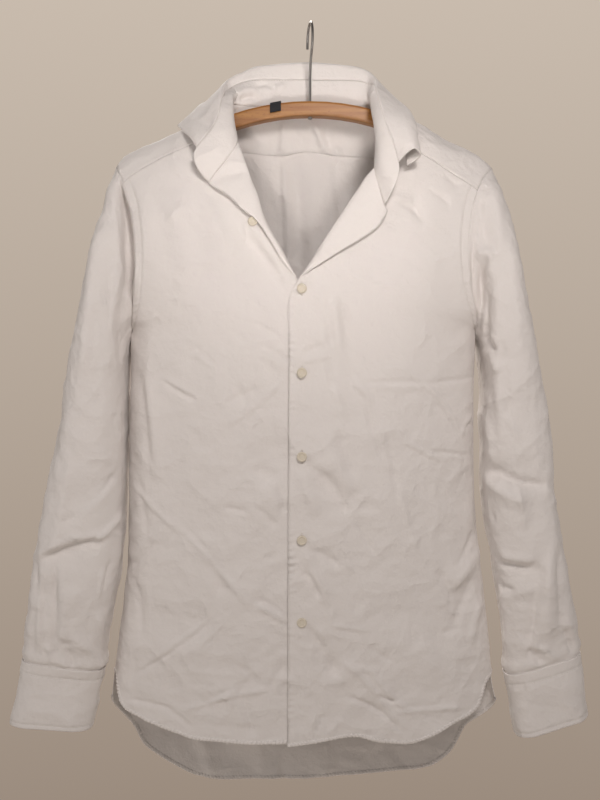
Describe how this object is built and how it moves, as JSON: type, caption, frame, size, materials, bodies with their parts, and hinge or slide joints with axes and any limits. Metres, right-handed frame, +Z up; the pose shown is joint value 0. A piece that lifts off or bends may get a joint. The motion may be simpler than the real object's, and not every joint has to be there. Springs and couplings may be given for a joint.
{
  "type": "button-down shirt on a wooden hanger",
  "caption": "Crumpled white long-sleeved shirt, open at the neck and buttoned below, hanging on a wooden bar hanger with a steel hook.",
  "frame": {"origin": "inside top of the hook, where it bears on a rail or line", "axes": "+Z up, the front faces -Y, +X is the wearer's left"},
  "size_m": [0.6539, 0.1496, 0.887],
  "materials": {
    "cotton": "plain white cotton, woven, crumpled",
    "label": "black woven tab, bare",
    "button": "ivory, softly glossy",
    "wood": "light beech, thin clear varnish",
    "steel": "bright drawn wire"
  },
  "bodies": {
    "root": {"front_left": "cotton", "front_right": "cotton", "back": "cotton", "yoke": "cotton", "sleeve_left": "cotton", "sleeve_right": "cotton", "cuff_left": "cotton", "cuff_right": "cotton", "collar_stand": "cotton", "collar_leaf": "cotton", "label": "label", "button_1": "button", "button_2": "button", "button_3": "button", "button_4": "button", "button_5": "button", "button_open": "button", "button_cuff_left": "button", "button_cuff_right": "button", "hanger_bar": "wood", "hook": "steel", "hook_nut": "steel"}
  },
  "joints": []
}
